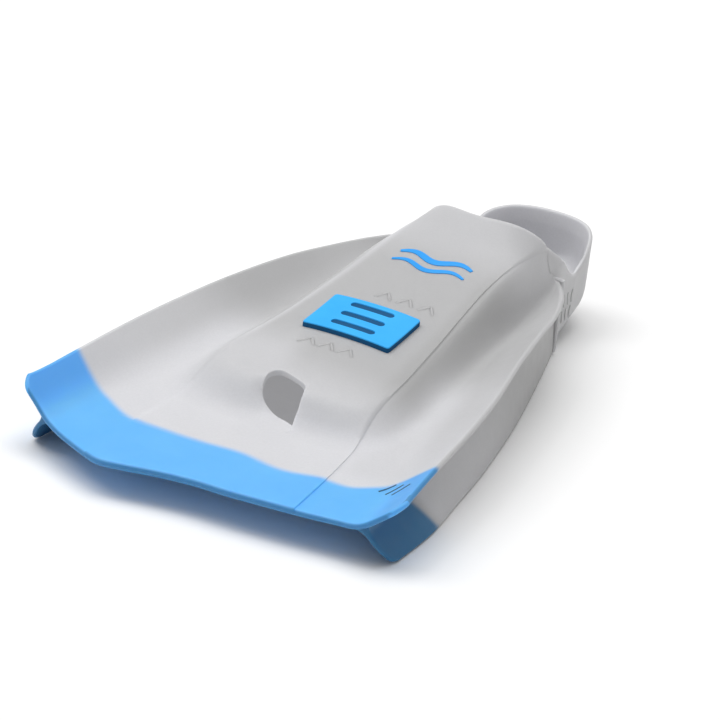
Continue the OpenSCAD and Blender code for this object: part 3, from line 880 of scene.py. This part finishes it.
def plate(outline, low, high, bevel):
    """Plate that follows the pocket's top, with rounded upper edges."""
    centre = outline.mean(axis=0)
    rings = []

    def ring(inset, shrink, lift):
        o = offset_outline(outline, -inset)
        o = centre + (o - centre) * shrink
        rings.append(on_top(o[:, 0], o[:, 1], lift))

    for s in (0.08, 0.3, 0.6, 0.85):
        ring(0, s, low)
    ring(0, 1, low)
    ring(0, 1, high - bevel)
    for a in (30, 60, 90):
        t = math.radians(a)
        ring(bevel * (1 - math.cos(t)), 1, high - bevel * (1 - math.sin(t)))
    for s in (0.94, 0.85, 0.7, 0.5, 0.3, 0.08):
        ring(bevel, s, high)
    return stack_mesh(rings)


def capsule(cx, cy, length, width):
    """Outline of a bar with round ends; length is between the ends' middles."""
    return rounded_box(cx, cy, length + width, width, width / 2 * 0.999)


def slot_cutter(cy):
    """Tool that cuts one slot through the badge's face, with a rounded upper edge."""
    outline = capsule(BADGE_X, cy, 20.5, 4.3)
    rings = [on_top(o[:, 0], o[:, 1], lift) for o, lift in (
        (outline, BASE_T - 0.35), (outline, BASE_T + FACE_T - 0.25),
        (offset_outline(outline, 0.1), BASE_T + FACE_T - 0.08),
        (offset_outline(outline, 0.3), BASE_T + FACE_T + 0.1),
        (offset_outline(outline, 0.4), BASE_T + FACE_T + 2))]
    return new_piece("cutter", *stack_mesh(rings), BADGE_LIGHT)


def build_badge():
    """Two-layer badge: the slots in its light face show the dark base."""
    outline = rounded_box(BADGE_X, BADGE_Y, BADGE_W, BADGE_L, 1.6)
    base = new_piece("badge_layer_dark", *plate(outline, -0.4, BASE_T, 0.25), BADGE_DARK, 40)
    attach(base, "foot_pocket")
    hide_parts("badge_base")
    face = new_piece("badge_layer_light", *plate(offset_outline(outline, -0.15), BASE_T - 0.05,
                                                 BASE_T + FACE_T, 0.3), BADGE_LIGHT, 40)
    cut(face, *[slot_cutter(BADGE_Y + 1 + k * 10) for k in (-1, 0, 1)])
    shade(face, 40)
    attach(face, "foot_pocket")
    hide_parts("badge_face")


def ribbon(path, widths, lift, surface=on_top, cross=4, sink=0.25):
    """Low raised band along a path on the surface."""
    p = np.array(path, float)
    t = np.gradient(p, axis=0)
    n = np.stack([-t[:, 1], t[:, 0]], axis=1)
    n /= np.linalg.norm(n, axis=1, keepdims=True)
    w = np.asarray(widths, float)[:, None]
    top, low = [], []
    for s in np.linspace(-0.5, 0.5, cross):
        q = p + n * w * s
        top.append(surface(q[:, 0], q[:, 1], lift))
        low.append(surface(q[:, 0], q[:, 1], -sink))
    return np.array(top), np.array(low)


def joined(name, parts, material, angle=50):
    """One piece from several closed meshes."""
    pts, faces, base = [], [], 0
    for p, f in parts:
        pts.append(p)
        faces += [tuple(i + base for i in q) for q in f]
        base += len(p)
    return new_piece(name, np.concatenate(pts), faces, material, angle)


def build_emblem():
    """Two printed waves on the instep."""
    parts = []
    for y, width in ((41.5, 3.0), (50.0, 4.0)):
        u = np.linspace(0, 1, 72)
        x = lerp(-21, 21, u) + axis_x(y)
        line = np.stack([x, y + 2.2 * np.sin(3 * math.pi * u)], axis=1)
        widths = width * np.sin(math.pi * lerp(0.10, 0.90, u)) ** 0.8
        parts.append(shell_mesh(*ribbon(line, widths, 0.45), bulge=0.5))
    obj = joined("wave_print", parts, PRINT_BLUE)
    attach(obj, "foot_pocket")
    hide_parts("wave_emblem")


def chevron(x, y):
    """Softly raised chevron."""
    half, depth, width, lift = 4.8, 7.4, 2.1, 0.42
    t = np.linspace(-1, 1, 41)
    path = np.stack([x + half * t, y + depth * (0.5 - np.sqrt(t * t + 0.012))], axis=1)
    return soft_ribbon(path, width, lift)


def soft_ribbon(path, width, lift, cross=11, sink=0.3):
    """Low band with a rounded back that runs out into the surface on both sides."""
    t = np.gradient(path, axis=0)
    n = np.stack([-t[:, 1], t[:, 0]], axis=1)
    n /= np.linalg.norm(n, axis=1, keepdims=True)
    u = np.linspace(0, 1, len(path))
    ends = np.minimum(1, 6 * np.minimum(u, u[::-1]))
    top, low = [], []
    for s in np.linspace(-0.5, 0.5, cross):
        q = path + n * width * s
        top.append(on_top(q[:, 0], q[:, 1], lift * math.cos(math.pi * s) ** 2 * ends - 0.03))
        low.append(on_top(q[:, 0], q[:, 1], -sink))
    return shell_mesh(np.array(top), np.array(low), bulge=0.2)


def build_relief():
    """Three low chevrons before the badge and three behind it."""
    for name, spots in (("front", [(11 * i - 1.5, -52.5) for i in (-1, 0, 1)]),
                        ("rear", [(12.5 * i + 10, 7.5) for i in (-1, 0, 1)])):
        obj = joined("relief_" + name, [chevron(*s) for s in spots], SILICONE)
        paint(obj)
        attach(obj, "foot_pocket")
        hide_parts(name + "_marks")


def build_wing_marks():
    """Three fine dark strokes on the blue corner of the right wing."""
    def on_wing(x, y, lift):
        return np.stack([x, y, top_z(x, y) + lift], axis=-1)

    parts = []
    for cx, cy in ((81, -136.5), (86, -139.5), (90.5, -142)):
        s = np.linspace(-1, 1, 9)
        path = np.stack([cx + 2.8 * s, cy + 3.1 * s], axis=1)
        parts.append(shell_mesh(*ribbon(path, np.full(9, 1.0), 0.15, on_wing), bulge=0.5))
    obj = joined("wing_marks", parts, INK_BLUE)
    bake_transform(obj)
    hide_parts("corner_marks")


def build_heel_strokes():
    """Small raised strokes on both sides of the heel wall."""
    parts = []
    for side in (-1, 1):
        def on_wall(y, z, lift):
            return np.stack([axis_x(y) + side * (heel_side(y) - 0.25 + lift), y, z], axis=-1)

        for k in range(4):
            for z0, z1 in ((14.2, 20.8), (23.6, 30.6)):
                u = np.linspace(0, 1, 9)
                y = 128 + 6.2 * k + 0.9 * np.sin(math.pi * u + k)
                path = np.stack([y, lerp(z0, z1, u)], axis=1)
                grids = ribbon(path, np.full(9, 1.5), 0.45, on_wall, sink=0.5)
                parts.append(shell_mesh(*grids, bulge=0.5))
    obj = joined("heel_strokes", parts, SILICONE)
    paint(obj)
    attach(obj, "foot_pocket")
    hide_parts("heel_marks")


def build_tread():
    """Low cross bars under the sole."""
    parts = []
    for k in range(11):
        y = -25 + 13 * k
        outline = capsule(float(axis_x(y)), y, 46, 5)
        rings = []
        for inset, z in ((0.5, 0.0), (0.2, 0.12), (0.04, 0.3), (0.0, 0.5), (0.0, 1.6)):
            o = offset_outline(outline, -inset)
            rings.append(np.column_stack([o, np.full(len(o), z)]))
        parts.append(stack_mesh(rings))
    obj = joined("sole_ribs", parts, SILICONE, 40)
    paint(obj)
    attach(obj, "foot_pocket")
    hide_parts("sole_tread")


# ---- Camera, light and floor ----
def build_stage():
    """Pale floor, even sky light and two large soft lights."""
    bpy.ops.mesh.primitive_plane_add(size=14)
    floor = bpy.context.object
    floor.name = "floor"
    floor.location.z = -0.0004
    mat, _, shader = nodes_of("studio_floor")
    shader.inputs["Base Color"].default_value = (0.97, 0.97, 0.97, 1)
    shader.inputs["Roughness"].default_value = 0.9
    shader.inputs["Specular IOR Level"].default_value = 0.1
    floor.data.materials.append(mat)

    world = bpy.data.worlds.new("studio")
    bpy.context.scene.world = world
    world.use_nodes = True
    sky = world.node_tree.nodes["Background"]
    sky.inputs["Color"].default_value = (1, 1, 1, 1)
    sky.inputs["Strength"].default_value = 0.40

    def area(name, location, target, size, power):
        data = bpy.data.lights.new(name, "AREA")
        data.shape = "DISK"
        data.size = size
        data.energy = power
        obj = bpy.data.objects.new(name, data)
        bpy.context.scene.collection.objects.link(obj)
        obj.location = location
        obj.rotation_euler = (Vector(location) - Vector(target)).to_track_quat("Z", "Y").to_euler()

    area("key", (-2.4, -0.8, 4.0), (0, 0, 0.03), 3.0, 75)
    area("top", (-0.2, 0.9, 4.4), (0, 0, 0.03), 3.6, 105)


def build_camera():
    """Camera at the photo's angle."""
    azimuth, elevation, roll = map(math.radians, (26.324, 22.664, 6.900))
    back = Vector((math.sin(azimuth) * math.cos(elevation),
                   -math.cos(azimuth) * math.cos(elevation), math.sin(elevation)))
    level = Vector((math.cos(azimuth), math.sin(azimuth), 0))
    above = back.cross(level)
    right = level * math.cos(roll) + above * math.sin(roll)
    up = back.cross(right)
    target, distance = Vector((0.03676, -0.09524, 0.06162)), 1.440
    data = bpy.data.cameras.new("camera")
    data.lens = 150
    data.sensor_width = 36
    data.clip_end = 20
    cam = bpy.data.objects.new("camera", data)
    bpy.context.scene.collection.objects.link(cam)
    axes = Matrix((right, up, back)).transposed().to_4x4()
    cam.matrix_world = Matrix.Translation(target + back * distance) @ axes
    bpy.context.scene.camera = cam


build_camera()
build_stage()
build_skin()
build_keel(-1, "left")
build_keel(1, "right")
build_rail_end(-1, "left")
build_rail_end(1, "right")
build_foot_shell()
build_badge()
build_emblem()
build_relief()
build_wing_marks()
build_heel_strokes()
build_tread()

bpy.context.scene.view_settings.view_transform = "Standard"
